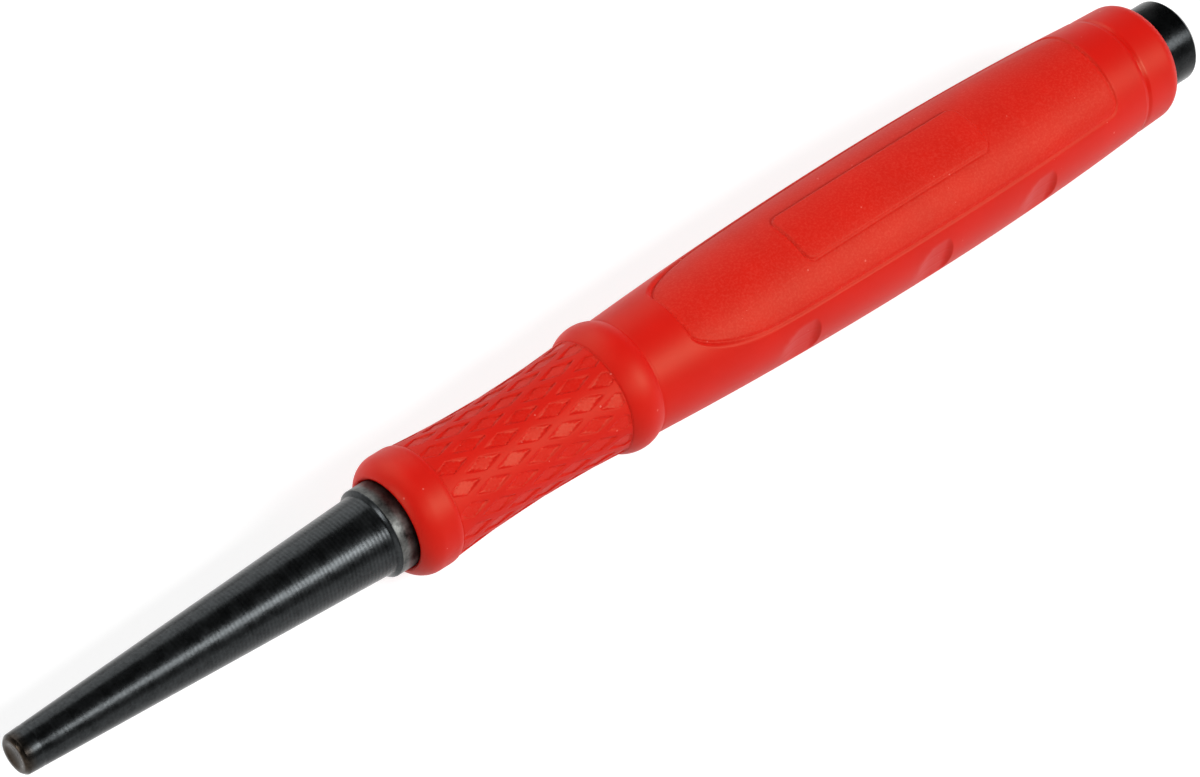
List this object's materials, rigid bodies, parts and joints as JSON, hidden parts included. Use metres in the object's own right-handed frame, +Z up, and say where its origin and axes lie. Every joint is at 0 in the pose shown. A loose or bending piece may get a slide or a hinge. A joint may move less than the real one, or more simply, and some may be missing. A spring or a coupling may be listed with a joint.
{
  "type": "nail setter",
  "caption": "Steel punch with a cupped tip, a tapered nose and a flat striking head, in a moulded soft grip with a diamond-pocketed waist and flatter finger panels.",
  "frame": {"origin": "on the surface that the tool lies on, below the middle of its length", "axes": "+X along the punch from the tip to the striking face, +Z up, out of the middle of the finger panel with the raised pad, +Y to the side"},
  "size_m": [0.15, 0.0152, 0.0141],
  "materials": {
    "oxide_steel": "turned, black oxide",
    "red_grip": "moulded, soft matt"
  },
  "bodies": {
    "root": {"punch": "oxide_steel", "grip": "red_grip"}
  },
  "joints": []
}
